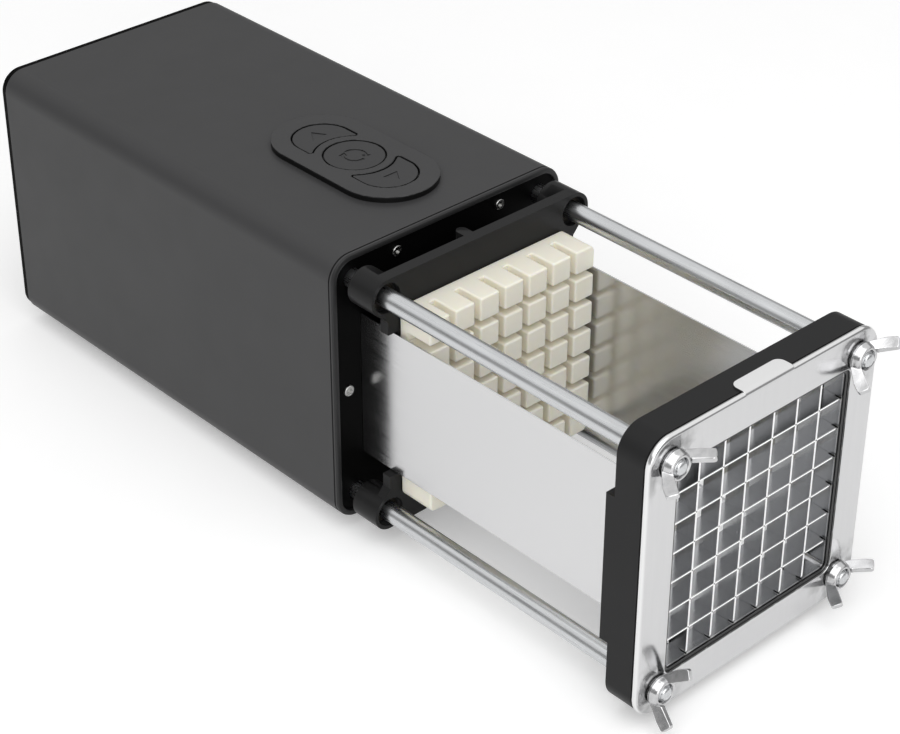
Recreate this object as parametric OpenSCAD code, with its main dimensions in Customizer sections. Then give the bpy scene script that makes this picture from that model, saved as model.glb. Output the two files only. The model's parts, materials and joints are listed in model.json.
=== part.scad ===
// Electric french fry cutter. Four rods tie a motor housing to a square blade frame.
// A carriage on the rods pushes a fingered block along a stainless trough into the blades.
// Origin: centre of the footprint on the table. +Z up, blades face -Y, housing is at +Y.

/* [Cutting grid] */
// Fry size, measured from blade to blade
cell = 13; // [12.5:0.25:13.5]
// Fries across and down
cells = 7; // [7]
// Thickness of a blade strip
blade_t = 0.8; // [0.6:0.1:1.2]
// Depth of a blade strip along the push
blade_d = 7.7; // [6:0.1:8.2]
// Wall of the sheet box round the blades
box_t = 0.8; // [0.6:0.1:1]

/* [Cover plate and frame] */
// Sheet thickness of the cover plate and the blade flange
sheet_t = 0.9; // [0.7:0.1:1]
// Radius of the rounded rim bead
bead_r = 1.5; // [1.2:0.1:1.6]
// Outer corner radius of the cover plate
cover_r = 11; // [9:0.5:13]
// Width of the hook tab on top of the cover
tab_w = 26; // [16:1:40]
// Reach of the hook tab over the frame
tab_l = 8.8; // [8:0.2:12]
// Back face of the frame, measured from the cover rim
frame_y = 16.5; // [16:0.1:18]
// Back face of the frame's side sections
side_y = 20.5; // [19:0.1:22]

/* [Rods] */
// Diameter of the guide rods
rod_d = 8; // [7.6:0.1:8.2]
// Diameter of the threaded front end
stud_d = 7; // [6:0.1:7.2]
// How far the threaded ends stand in front of the cover rim
stud_y = 4.8; // [3.8:0.1:5.2]
// Distance of a rod centre outside the cutting square
rod_out = 4.5; // [4.4:0.1:5]

/* [Wing nuts] */
// Reach of a wing from the rod centre
wing_r = 13; // [11:0.1:13.2]
// Thickness of a wing
wing_t = 2.4; // [1.8:0.1:2.8]
// How far the wings stand in front of the cover rim
wing_y = 11.5; // [10:0.1:12]

/* [Trough] */
// Sheet thickness of the trough walls and floor
wall_t = 0.8; // [0.6:0.1:0.9]

/* [Carriage and push block] */
// Full travel of the carriage
travel = 124; // [80:1:124]
// Diameter of the carriage bosses
boss_d = 16; // [15:0.5:16.5]
// Length of the carriage bosses
boss_l = 13.8; // [12:0.1:16]
// Depth of the bar between the upper bosses
bar_d = 5.2; // [4.4:0.1:8]
// Thickness of that bar
bar_t = 3.6; // [2.5:0.1:5]
// Width of the slots that clear the blades
slot_w = 3; // [2:0.1:4]
// Length of the fingers
finger_l = 12.4; // [10:0.1:13]
// Thickness of the block behind the fingers
block_t = 5; // [4:0.1:6]

/* [Housing] */
// Length of the housing sleeve with its back cover
body_l = 224.5; // [215:0.5:240]
// Radius of the long edges
body_r = 10; // [8.5:0.5:12]
// Wall of the sleeve
body_t = 2.5; // [2:0.1:2.8]

/* [Buttons] */
// Length of the button pad
pad_l = 83; // [80:1:90]
// Width of the button pad
pad_w = 43; // [41:1:48]
// Height of the button pad above the housing
pad_t = 2.6; // [2.2:0.1:3.2]
// Diameter of the middle button
knob_d = 25.5; // [24:0.5:26]
// Press depth of a button
press = 1; // [0.6:0.1:1]

/* [Drive] */
// Outer diameter of the drive screw
screw_d = 16; // [14:0.5:16]
// Teeth of the gear on the drive nut
gear_n = 54; // [54]
// Teeth of the motor pinion
pinion_n = 18; // [18]
// Gear module
gear_m = 1; // [1]
// Width of the gears
gear_w = 10; // [8:0.5:11]
// Diameter of the gearhead of the motor
motor_d = 42; // [36:0.5:44]
// Length of the motor can behind its gearhead
motor_l = 58; // [45:1:70]

/* [Feet] */
// Height of the feet under the housing
foot_h = 5.5; // [5:0.5:8]
// Diameter of the feet under the housing
foot_d = 14; // [12:0.5:18]

/* [Hidden] */
$fn = 48;
e = 0.02;                         // overlap used inside one piece
fit = 0.05;                       // running fit, radial
seat = 0.3;                       // gap left round parts that are screwed in place

grid_h = cells * cell / 2;        // half width of the cutting square
rod_x = grid_h + rod_out;         // rod centres, both ways
box_in = grid_h - 0.5;            // inner half width of the blade box
box_out = box_in + box_t;
body_h = rod_x + 11;              // half width and half height of the housing
cover_h = rod_x + 11.2;           // half width of the cover plate
frame_h = cover_h - 0.4;          // half width of the front frame
wall_h = grid_h - cell;           // half height of the trough walls
wall_x = grid_h + 0.1;            // inner face of the trough walls
open_h = grid_h + 0.5;            // half opening of the front frame

face_y = 0.7;                     // flat front of the cover plate
front_y = face_y + sheet_t + 0.2; // front of the front frame
blade_y = 2.9;                    // cutting edges
body_y = 166;                     // front rim of the housing
rear_y = body_y + body_l;         // back face of the back cover
inlet_t = 1.5;                    // flange of the power inlet
axis_z = foot_h + body_h;         // height of the machine axis
mid_y = (rear_y + inlet_t - wing_y) / 2;

block_y = 129;                    // finger tips at rest
block_b = block_y + finger_l + block_t;
block_h = grid_h - 1.2;           // half width of the push block
web_y = block_b + seat;           // front of the carriage web
web_t = 4.3;
web_h = grid_h - 0.6;             // half width of the web inside the trough
boss_y = web_y;                   // front of the bosses
bar_z = rod_x + 8;                // top of the upper bar
hub_y = web_y + 18.3;             // back of the carriage hub
bush_t = 1.6;

plate_y = body_y + 1.2;           // inset front plate
plate_t = 4;
mount_y = plate_y + plate_t + 0.2;
mount_t = 5;
back_t = 2.5;                     // back cover
in_h = body_h - body_t;           // half width inside the sleeve
in_r = body_r - body_t;

screw_r = screw_d / 2;
spigot_r = 6;                     // turned front end of the drive screw
pitch = 4;                        // thread ridge spacing on the drive screw
nut_r = 13;                       // barrel of the drive nut
race_r = 19;                      // outer radius of the bearings
race_w = 8;
cup_y = mount_y + mount_t + 0.2;  // bearing cup
gear_y = cup_y + race_w + 3;      // front of the gears
deck_y = gear_y + gear_w + 3;     // plate that carries the motor
deck_t = 8;
switch_l = 12.4;                  // limit switch with its lever
screw_y1 = deck_y + deck_t + 0.5 + switch_l + travel + 8; // rear end of the drive screw at rest
gear_c = gear_m * (gear_n + pinion_n) / 2;
motor_a = -135;                   // direction of the motor seen from the blades
motor_x = gear_c * cos(motor_a);
motor_z = gear_c * sin(motor_a);
motor_y = deck_y + deck_t + 0.1;
head_l = 32;                      // length of the gearhead
shaft_r = 3;
striker_y = screw_y1 - 8;
rail_x = 30;                      // limit switch rail
deck_x = 51;
deck_z = 42;

pad_y = body_y + 57.5;            // centre of the button pad
lobe = (pad_l - pad_w) / 2;       // pad end arcs
knob_r = knob_d / 2;
horn_r = 14.5;                    // outer arc of the end buttons
horn_y = 16.5;                    // its centre from the pad centre
gap_r = knob_r + 4.5;             // inner arc of the end buttons
stem_y = (gap_r + horn_y + horn_r) / 2;
lip = 0.4;                        // groove round the buttons
cap_z0 = body_h + 0.1 + press + 0.1;
cap_z1 = body_h + pad_t - 0.2;
board_z = body_h - 14;            // underside of the control board
board_t = 1.6;
board_x = 28;
board_y0 = body_y + 24;
board_y1 = body_y + 94;

nut_angle = [24, 34, 22, 60];     // wings: top left, top right, bottom right, bottom left

// Moves the machine frame (rim of the cover at y 0, rod square centred) to the row frame.
module place() { translate([0, -mid_y, axis_z]) children(); }

// Flat outline in x and z, made solid from y0 to y1.
module slab(y0, y1) {
  translate([0, y1, 0]) rotate([90, 0, 0]) linear_extrude(height = y1 - y0) children();
}
// Round bar along y.
module bar(r, y0, y1, x = 0, z = 0) {
  translate([x, y0, z]) rotate([-90, 0, 0]) cylinder(r = r, h = y1 - y0);
}
// Round bar that changes radius.
module cone(r0, r1, y0, y1, x = 0, z = 0) {
  translate([x, y0, z]) rotate([-90, 0, 0]) cylinder(r1 = r0, r2 = r1, h = y1 - y0);
}
// Round post along z.
module post(r, z0, z1, x = 0, y = 0) { translate([x, y, z0]) cylinder(r = r, h = z1 - z0); }
module box(x0, x1, y0, y1, z0, z1) { translate([x0, y0, z0]) cube([x1 - x0, y1 - y0, z1 - z0]); }
// Rounded rectangle given by half sizes.
module rrect(a, b, r) {
  square([2 * (a - r), 2 * b], center = true);
  square([2 * a, 2 * (b - r)], center = true);
  for (i = [-1, 1], j = [-1, 1]) translate([i * (a - r), j * (b - r)]) circle(r = r);
}
module hexagon(r) { circle(r = r, $fn = 6); }
module corners(x, z) { for (i = [-1, 1], j = [-1, 1]) translate([i * x, 0, j * z]) children(); }
// Lines between fries, counted from the centre.
lines = [for (i = [1:cells - 1]) -grid_h + i * cell];

// ---- blade set ----
module blade_box() {
  color("silver") place() difference() {
    union() {
      slab(front_y, blade_y + blade_d + 0.6) rrect(box_out, box_out, 3.2);
      slab(front_y, front_y + sheet_t) rrect(box_out + 3, box_out + 3, 9);
    }
    slab(front_y - 1, blade_y + blade_d + 1) rrect(box_in, box_in, 2.4);
    for (t = lines) {
      box(t - blade_t / 2 - 0.05, t + blade_t / 2 + 0.05, blade_y - 0.05, blade_y + blade_d + 0.05,
          -box_out - 1, box_out + 1);
      box(-box_out - 1, box_out + 1, blade_y - 0.05, blade_y + blade_d + 0.05,
          t - blade_t / 2 - 0.05, t + blade_t / 2 + 0.05);
    }
  }
}
// One strip standing at x = 0, slotted from the front or from the back.
module strip(slot_y0, slot_y1) {
  difference() {
    box(-blade_t / 2, blade_t / 2, blade_y, blade_y + blade_d, -box_out + 0.1, box_out - 0.1);
    for (t = lines) box(-1, 1, slot_y0, slot_y1, t - blade_t / 2 - 0.05, t + blade_t / 2 + 0.05);
  }
}
half_y = blade_y + blade_d / 2;
module blades_upright() {
  color("gainsboro") place() for (t = lines)
    translate([t, 0, 0]) strip(half_y - 0.04, blade_y + blade_d + 1);
}
module blades_level() {
  color("gainsboro") place() for (t = lines)
    translate([0, 0, t]) rotate([0, 90, 0]) strip(blade_y - 1, half_y + 0.04);
}

// ---- front ----
// Round bead that follows a rounded rectangle in x and z.
module bead(a, r, rb) {
  p = a - rb;
  for (k = [0:3]) rotate([0, 90 * k, 0]) {
    translate([p, 0, -(a - r)]) cylinder(r = rb, h = 2 * (a - r));
    translate([a - r, 0, a - r]) rotate([90, 0, 0]) rotate_extrude(angle = 90)
      translate([r - rb, 0]) circle(r = rb);
  }
}
module cover_plate() {
  color("silver") place() difference() {
    union() {
      slab(face_y, face_y + sheet_t) rrect(cover_h - bead_r, cover_h - bead_r, cover_r - bead_r);
      translate([0, face_y + bead_r, 0]) bead(cover_h, cover_r, bead_r);
      box(-tab_w / 2, tab_w / 2, face_y + bead_r, tab_l, frame_h + 0.1, frame_h + 0.1 + sheet_t);
    }
    slab(-1, 4) rrect(box_out + 0.7, box_out + 0.7, 4);
    corners(rod_x, rod_x) bar(stud_d / 2 + 0.2, -1, 4);
  }
}
module front_frame() {
  color("#161616") place() difference() {
    union() {
      slab(front_y, face_y + 2 * bead_r + 0.2) rrect(cover_h - 2 * bead_r - seat, cover_h - 2 * bead_r - seat, cover_r - 3);
      slab(face_y + 2 * bead_r + 0.1, frame_y) rrect(frame_h, frame_h, cover_r - 0.4);
      for (s = [-1, 1]) box(s > 0 ? open_h - 0.2 : -frame_h, s > 0 ? frame_h : -open_h + 0.2,
        frame_y - 1, side_y, -wall_h, wall_h);
      box(-wall_h, wall_h, frame_y - 1, side_y - 1.9, -frame_h, -open_h + 0.2);
    }
    slab(front_y - 1, side_y + 1) rrect(open_h, open_h, 3.4);
    slab(front_y - 1, front_y + sheet_t + 0.2) rrect(box_out + 3.3, box_out + 3.3, 9.2);
    for (s = [-1, 1]) box(s * (wall_x + wall_t / 2) - 0.6, s * (wall_x + wall_t / 2) + 0.6,
      blade_y + blade_d + 1, side_y + 1, -wall_h - 0.2, wall_h + 0.2);
    box(-wall_h - 0.2, wall_h + 0.2, blade_y + blade_d + 1, side_y + 1,
        -wall_x - wall_t - 0.2, -wall_x + 0.2);
    corners(rod_x, rod_x) bar(stud_d / 2 + 0.1, 0, frame_y + 1);
    // lightening pockets between the corners, open at the back
    box(-34, 34, 8, frame_y + 1, open_h + 2.5, frame_h - 2.5);
    for (s = [-1, 1]) translate([s * 36, 11.5, -frame_h - 1]) cylinder(r = 1.55, h = 8);
  }
}
module front_feet() {
  color("#202020") place() for (s = [-1, 1]) difference() {
    post(4.6, -axis_z, -frame_h - 0.02, s * 36, 11.5);
    post(1.7, -axis_z - 1, -frame_h + 1, s * 36, 11.5);
    post(3.1, -axis_z - 1, -axis_z + 3.4, s * 36, 11.5);
  }
}
module guide_rod(x, z) {
  color("#b9bcbd") place() {
    bar(rod_d / 2, frame_y + 0.05, mount_y + mount_t + 8, x, z);
    bar(stud_d / 2, 0.8 - stud_y, frame_y + 0.1, x, z);
    cone(stud_d / 2 - 0.9, stud_d / 2, -stud_y, 0.81 - stud_y, x, z);
  }
}
module rod_top_left() guide_rod(-rod_x, rod_x);
module rod_top_right() guide_rod(rod_x, rod_x);
module rod_bottom_left() guide_rod(-rod_x, -rod_x);
module rod_bottom_right() guide_rod(rod_x, -rod_x);
module rod_nuts() {
  color("silver") place() corners(rod_x, rod_x) difference() {
    slab(mount_y + mount_t + 0.1, mount_y + mount_t + 5.6) hexagon(7.4);
    bar(rod_d / 2 + fit, mount_y, mount_y + 20);
  }
}
// Wing nut round the y axis. One wing points along the angle a, the other opposite.
module wing_nut(a) {
  rotate([0, -a, 0]) difference() {
    union() {
      bar(6.1, -0.9, face_y - 0.05);
      cone(5, 6.1, -3.7, -0.89);
      for (s = [0, 180]) rotate([0, s, 0]) translate([0, 0, -wing_t / 2]) linear_extrude(height = wing_t)
        polygon([[4.2, -3.6], [4.8, -0.5], [6.3, -0.5], [wing_r, 4.8 - wing_y], [wing_r - 0.4, 3.6 - wing_y],
          [wing_r - 4, -wing_y], [wing_r - 5.2, -wing_y]]);
    }
    bar(stud_d / 2 + fit, -wing_y - 1, 2);
  }
}
module wing_nut_top_left() color("#d9dadb") place() translate([-rod_x, 0, rod_x]) wing_nut(nut_angle[0]);
module wing_nut_top_right() color("#d9dadb") place() translate([rod_x, 0, rod_x]) wing_nut(nut_angle[1]);
module wing_nut_bottom_right() color("#d9dadb") place() translate([rod_x, 0, -rod_x]) wing_nut(nut_angle[2]);
module wing_nut_bottom_left() color("#d9dadb") place() translate([-rod_x, 0, -rod_x]) wing_nut(nut_angle[3]);

// ---- trough: two walls and a floor, the corners between them stay open for the carriage ----
trough_y0 = blade_y + blade_d + 1.2;
trough_y1 = plate_y + 2;
module trough_wall(s) {
  color("#c8caca") place() box(s > 0 ? wall_x : -wall_x - wall_t, s > 0 ? wall_x + wall_t : -wall_x,
    trough_y0, trough_y1, -wall_h, wall_h);
}
module trough_wall_left() trough_wall(-1);
module trough_wall_right() trough_wall(1);
module trough_floor() {
  color("#c8caca") place() box(-wall_h, wall_h, trough_y0, trough_y1, -wall_x - wall_t, -wall_x);
}

// ---- carriage ----
clear = 0.7;                      // gap between the carriage and the trough sheets
module web_outline() {
  difference() {
    union() {
      square([2 * web_h, 2 * web_h], center = true);
      for (s = [-1, 1]) translate([-rod_x, s > 0 ? wall_h + clear : -bar_z])
        square([2 * rod_x, bar_z - wall_h - clear]);
      // gussets that run from the bosses back to the web
      for (i = [-1, 1], j = [-1, 1]) polygon([[i * web_h, j * (wall_h + clear)], [i * (rod_x + 7), j * (rod_x - 3)],
        [i * rod_x, j * rod_x], [i * (web_h - 4), j * rod_x]]);
    }
    translate([-wall_h - clear, -wall_x - wall_t - clear]) square([2 * (wall_h + clear), wall_t + 2 * clear]);
  }
}
module carriage() {
  color("#141414") place() difference() {
    union() {
      slab(web_y, web_y + web_t) web_outline();
      corners(rod_x, rod_x) bar(boss_d / 2, boss_y, boss_y + boss_l);
      for (s = [-1, 1]) box(-rod_x, rod_x, web_y, web_y + bar_d, s > 0 ? bar_z - bar_t : -bar_z,
        s > 0 ? bar_z : -bar_z + bar_t);
      bar(15, web_y + 1, hub_y);
      // diagonal stiffeners behind the web
      for (a = [45, 135]) rotate([0, a, 0])
        box(-62, 62, web_y + 1, web_y + 10, -2, 2);
      // upright rib with a round back, from the hub to the upper bar
      box(-5.5, -0.7, web_y + 1, web_y + bar_d + 4, 12, bar_z - 0.2);
      post(2.4, 12, bar_z - 0.2, -3.1, web_y + bar_d + 4);
    }
    corners(rod_x, rod_x) {
      bar(rod_d / 2 + fit + bush_t, boss_y - 1, boss_y + boss_l + 4);
      bar(boss_d / 2 - 1.6, boss_y - 1, boss_y + 3);
    }
    bar(spigot_r + fit, web_y - 1, hub_y + 1);
    translate([0, hub_y - 6, 16]) rotate([180, 0, 0]) cylinder(r = 2 + fit, h = 32);
    corners(30, 30) bar(1.7, web_y - 1, web_y + web_t + 7);
    corners(30, 30) bar(3.2, web_y + web_t - 1.3, web_y + web_t + 7);
    // slot that keeps the stiffeners off the floor sheet
    box(-wall_h - clear, wall_h + clear, web_y - 1, hub_y, -wall_x - wall_t - clear, -wall_x + clear);
    for (s = [-1, 1]) box(s > 0 ? web_h : -wall_x - wall_t - clear, s > 0 ? wall_x + wall_t + clear : -web_h,
      web_y - 1, hub_y, -wall_h - clear, wall_h + clear);
  }
}
module slide_bushes() {
  color("#c9b37a") place() corners(rod_x, rod_x) difference() {
    bar(rod_d / 2 + fit + bush_t - 0.02, boss_y + 3.2, boss_y + boss_l - 0.8);
    bar(rod_d / 2 + fit, boss_y, boss_y + boss_l);
  }
}
module push_block() {
  color("ivory") place() difference() {
    slab(block_y, block_b) rrect(block_h, block_h, 3);
    for (t = lines) {
      box(t - slot_w / 2, t + slot_w / 2, block_y - 1, block_y + finger_l, -60, 60);
      box(-60, 60, block_y - 1, block_y + finger_l, t - slot_w / 2, t + slot_w / 2);
    }
    corners(30, 30) bar(1.5, block_b - 4.2, block_b + 1);
  }
}
module block_screws() {
  color("silver") place() corners(30, 30) {
    bar(1.45, block_b - 4, web_y + web_t - 1);
    bar(3, web_y + web_t - 1.2, web_y + web_t + 1.2);
  }
}

// ---- housing ----
module pad_outline(g = 0) {
  square([pad_w + 2 * g, 2 * lobe], center = true);
  for (s = [-1, 1]) translate([0, s * lobe]) circle(r = pad_w / 2 + g);
}
stems = [-stem_y, 0, stem_y];
board_posts = [for (i = [-1, 1], y = [board_y0 + 4, board_y1 - 4]) [i * (board_x - 4), y]];
feet_y = [body_y + 26, rear_y - 22];
module housing_sleeve() {
  color("#2b2b2b") place() difference() {
    union() {
      difference() {
        slab(body_y, rear_y - back_t - 0.3) rrect(body_h, body_h, body_r);
        slab(body_y - 1, rear_y) rrect(in_h, in_h, in_r);
      }
      corners(rod_x, rod_x) bar(5, rear_y - 24, rear_y - back_t - 0.3);
      corners(rod_x + 3, rod_x + 3) bar(5, rear_y - 24, rear_y - back_t - 0.3);
      for (p = board_posts) post(3, board_z + board_t + 0.1, in_h + 0.5, p[0], p[1]);
    }
    for (s = stems) post(3, in_h - 1, body_h + 1, 0, pad_y + s);
    for (p = board_posts) post(1.15, board_z, in_h - 1.5, p[0], p[1]);
    corners(rod_x, rod_x) bar(1.5, rear_y - 18, rear_y);
    for (i = [-1, 1], y = feet_y) post(1.9, -body_h - 1, -in_h + 1, i * 42, y);
  }
}
module back_cover() {
  color("#1d1d1d") place() difference() {
    union() {
      slab(rear_y - back_t, rear_y) rrect(body_h - 0.5, body_h - 0.5, body_r - 0.5);
      difference() {
        slab(rear_y - back_t - 4, rear_y - 1) rrect(in_h - seat, in_h - seat, in_r - seat);
        slab(rear_y - back_t - 5, rear_y) rrect(in_h - 2.3, in_h - 2.3, in_r - 2.3);
        corners(rod_x, rod_x) bar(6, rear_y - back_t - 5, rear_y - back_t);
        corners(rod_x + 3, rod_x + 3) bar(6, rear_y - back_t - 5, rear_y - back_t);
      }
    }
    corners(rod_x, rod_x) bar(1.8, rear_y - 8, rear_y + 1);
    corners(rod_x, rod_x) cone(1.8, 3.4, rear_y - 1.6, rear_y + e);
    box(16.5, 44.5, rear_y - 9, rear_y + 1, -45.5, -24.5);
    for (s = [-1, 1]) bar(1.6, rear_y - 9, rear_y + 1, 30.5 + s * 20, -35);
  }
}
module back_screws() {
  color("#303030") place() corners(rod_x, rod_x) {
    bar(1.45, rear_y - 16, rear_y - 1.2);
    cone(1.45, 3, rear_y - 1.5, rear_y - 0.1);
  }
  color("#303030") place() for (s = [-1, 1]) {
    bar(1.45, rear_y - 8, rear_y + inlet_t - 0.5, 30.5 + s * 20, -35);
    cone(1.65, 2.4, rear_y + inlet_t - 0.8, rear_y + inlet_t - 0.05, 30.5 + s * 20, -35);
  }
}
plate_screws_at = [[-27.5, body_h - 7.5], [27.5, body_h - 7.5], [-body_h + 7.5, 0], [body_h - 7.5, 0],
  [-27.5, 7.5 - body_h], [27.5, 7.5 - body_h]];
module front_plate() {
  color("#101010") place() difference() {
    slab(plate_y, plate_y + plate_t) rrect(in_h - 0.2, in_h - 0.2, in_r - 0.2);
    corners(rod_x, rod_x) bar(rod_d / 2 + 0.3, plate_y - 1, plate_y + plate_t + 1);
    bar(screw_r + 1, plate_y - 1, plate_y + plate_t + 1);
    for (s = [-1, 1]) box(s * (wall_x + wall_t / 2) - 0.6, s * (wall_x + wall_t / 2) + 0.6,
      plate_y - 1, plate_y + 2.2, -wall_h - 0.2, wall_h + 0.2);
    box(-wall_h - 0.2, wall_h + 0.2, plate_y - 1, plate_y + 2.2, -wall_x - wall_t - 0.2, -wall_x + 0.2);
    for (p = plate_screws_at) bar(1.7, plate_y - 1, plate_y + plate_t + 1, p[0], p[1]);
  }
}
module plate_screws() {
  color("silver") place() for (p = plate_screws_at) difference() {
    union() {
      bar(1.45, plate_y - 0.5, mount_y + mount_t - 0.5, p[0], p[1]);
      bar(2.3, plate_y - 0.9, plate_y - 0.05, p[0], p[1]);
      cone(2.1, 2.3, plate_y - 1.1, plate_y - 0.89, p[0], p[1]);
    }
    bar(1.1, plate_y - 2, plate_y - 0.3, p[0], p[1]);
  }
}
posts_at = [[-46, 34], [46, 34], [-47, -8], [46, -34]];
module mount_plate() {
  color("#8e9294") place() difference() {
    slab(mount_y, mount_y + mount_t) rrect(in_h - 1.5, in_h - 1.5, in_r - 1);
    corners(rod_x, rod_x) bar(rod_d / 2 + fit, mount_y - 1, mount_y + mount_t + 1);
    bar(screw_r + 2, mount_y - 1, mount_y + mount_t + 1);
    for (p = plate_screws_at) bar(1.5, mount_y - 1, mount_y + mount_t + 1, p[0], p[1]);
    for (p = posts_at) bar(2.05, mount_y - 1, mount_y + mount_t + 1, p[0], p[1]);
    for (s = [-1, 1]) bar(1.5, mount_y - 1, mount_y + mount_t + 1, s * 30, -44);
    for (a = [45:90:315]) bar(1.5, mount_y - 1, mount_y + mount_t + 1, 22.5 * cos(a), 22.5 * sin(a));
  }
}
tray_z = -in_h + 0.1;             // underside of the chassis tray
tray_x = 48.5;
module chassis_tray() {
  color("#9a9c9a") place() difference() {
    union() {
      box(-tray_x, tray_x, cup_y + 0.1, rear_y - 12, tray_z, tray_z + 1.5);
      box(-38, 38, cup_y + 0.1, cup_y + 1.6, tray_z, -38);
    }
    for (i = [-1, 1], y = feet_y) post(1.65, tray_z - 1, tray_z + 3, i * 42, y);
    for (s = [-1, 1]) bar(1.7, cup_y - 1, cup_y + 3, s * 30, -44);
    // corner notches clear the rod nuts
    for (s = [-1, 1]) box(s > 0 ? 41.5 : -51, s > 0 ? 51 : -41.5, cup_y - 1, cup_y + 9, tray_z - 1, tray_z + 3);
  }
}
module housing_feet() {
  color("#202020") place() for (i = [-1, 1], y = feet_y) difference() {
    union() {
      post(foot_d / 2, -axis_z + 1, -body_h - 0.02, i * 42, y);
      post(foot_d / 2 - 1, -axis_z, -axis_z + 1.01, i * 42, y);
    }
    post(1.9, -axis_z - 1, -body_h + 1, i * 42, y);
    post(3.5, -axis_z - 1, -axis_z + 3.2, i * 42, y);
  }
}
module foot_screws() {
  color("silver") place() for (i = [-1, 1], y = feet_y) {
    post(1.6, -axis_z + 1.5, tray_z + 4, i * 42, y);
    post(3.2, -axis_z + 1.2, -axis_z + 3.1, i * 42, y);
  }
  color("silver") place() for (s = [-1, 1]) {
    post(1.5, -axis_z + 1.5, -frame_h + 5.5, s * 36, 11.5);
    post(2.8, -axis_z + 1.4, -axis_z + 3.3, s * 36, 11.5);
  }
}

// ---- buttons ----
module horn(g = 0) {
  difference() {
    translate([0, horn_y]) circle(r = horn_r + g);
    circle(r = gap_r - g);
  }
}
module button_pad() {
  color("#262626") place() translate([0, pad_y, 0]) difference() {
    translate([0, 0, body_h + 0.02]) linear_extrude(height = pad_t) pad_outline();
    translate([0, 0, body_h - 1]) linear_extrude(height = pad_t + 3) {
      circle(r = knob_r + lip);
      horn(lip);
      mirror([0, 1]) horn(lip);
    }
  }
}
// Stem that reaches the switch, with a keeper ring under the sleeve.
module button_stem(y) {
  post(2.6, in_h - 1.5, cap_z0 + 0.1, 0, y);
  post(3.9, in_h - 2.4, in_h - 1.4, 0, y);
  post(1.7, board_z + board_t + 2.8, in_h - 2.3, 0, y);
}
module chevron() {
  for (m = [0, 1]) mirror([m, 0]) rotate(38) translate([-0.3, -0.25]) square([4.6, 0.5]);
}
module button_back() {
  color("#292929") place() translate([0, pad_y, 0]) {
    difference() {
      translate([0, 0, cap_z0]) linear_extrude(height = cap_z1 - cap_z0) horn();
      translate([0, stem_y + 1, cap_z1 - 0.25]) linear_extrude(height = 1) mirror([0, 1]) chevron();
    }
    button_stem(stem_y);
  }
}
module button_forward() {
  color("#292929") place() translate([0, pad_y, 0]) {
    difference() {
      translate([0, 0, cap_z0]) linear_extrude(height = cap_z1 - cap_z0) mirror([0, 1]) horn();
      translate([0, -stem_y - 1, cap_z1 - 0.25]) linear_extrude(height = 1) chevron();
    }
    button_stem(-stem_y);
  }
}
module button_stop() {
  color("#292929") place() translate([0, pad_y, 0]) {
    difference() {
      post(knob_r, cap_z0, cap_z1);
      translate([0, 0, cap_z1 - 0.25]) linear_extrude(height = 1) difference() {
        circle(r = 3.6);
        circle(r = 3.1);
        for (s = [-1, 1]) translate([s * 3.4, 0]) square([1.6, 1.6], center = true);
      }
    }
    button_stem(0);
  }
}
module control_board() {
  color("darkgreen") place() difference() {
    box(-board_x, board_x, board_y0, board_y1, board_z, board_z + board_t);
    for (p = board_posts) post(1.4, board_z - 1, board_z + 3, p[0], p[1]);
  }
}
module tact_switches() {
  color("#3a3a3a") place() for (s = stems) difference() {
    box(-4, 4, pad_y + s - 4, pad_y + s + 4, board_z + board_t, board_z + board_t + 3.6);
    post(1.95, board_z + board_t + 1.4, board_z + board_t + 5, 0, pad_y + s);
  }
}
module board_parts() {
  color("#4a4a40") place() {
    box(-22, -8, board_y0 + 12, board_y0 + 22, board_z - 3, board_z - 0.05);
    for (i = [0:2]) post(3.4, board_z - 9, board_z - 0.05, 18, board_y0 + 26 + i * 9);
    box(8, 24, board_y1 - 16, board_y1 - 8, board_z - 7, board_z - 0.05);
  }
}

// ---- drive ----
// Tooth outline: straight flanks drawn close to the involute, thinned a little for running clearance.
module toothed(n, m) {
  rp = n * m / 2; ra = rp + 0.95 * m; rf = rp - 1.2 * m;
  w = 360 / n;
  polygon([for (k = [0:n - 1]) each [
    for (q = [[rf, -0.36], [rp - 0.55 * m, -0.31], [rp, -0.235], [rp + 0.55 * m, -0.155], [ra, -0.085],
              [ra, 0.085], [rp + 0.55 * m, 0.155], [rp, 0.235], [rp - 0.55 * m, 0.31], [rf, 0.36]])
      [q[0] * cos((k + q[1]) * w), q[0] * sin((k + q[1]) * w)]]]);
}
module drive_screw() {
  n = floor((screw_y1 - hub_y - 6) / pitch);
  color("#a7a9ab") place() {
    difference() {
      bar(spigot_r, web_y + 0.3, hub_y + 0.5);
      translate([0, hub_y - 6, 16]) rotate([180, 0, 0]) cylinder(r = 2 + fit, h = 32);
    }
    translate([0, hub_y + 0.3, 0]) rotate([-90, 0, 0]) rotate_extrude()
      polygon(concat([[0, 0], [screw_r, 0], [screw_r, 3]],
        [for (i = [0:n - 1]) each [[screw_r, 3 + i * pitch + 1], [screw_r - 1.8, 3 + i * pitch + 1.6],
          [screw_r - 1.8, 3 + i * pitch + 2.8], [screw_r, 3 + i * pitch + 3.4]]],
        [[screw_r, screw_y1 - hub_y - 1.3], [screw_r - 1, screw_y1 - hub_y - 0.3], [0, screw_y1 - hub_y - 0.3]]));
  }
}
module cross_pin() {
  color("silver") place() translate([0, hub_y - 6, 14.5]) rotate([180, 0, 0]) cylinder(r = 2, h = 29);
}
module drive_nut() {
  color("#b08d45") place() difference() {
    union() {
      bar(nut_r, cup_y + 0.2, deck_y + deck_t + 2);
      bar(nut_r + 3, cup_y + race_w + 0.4, gear_y - 0.3);
    }
    bar(screw_r + fit, cup_y - 1, deck_y + deck_t + 3);
  }
}
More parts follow.
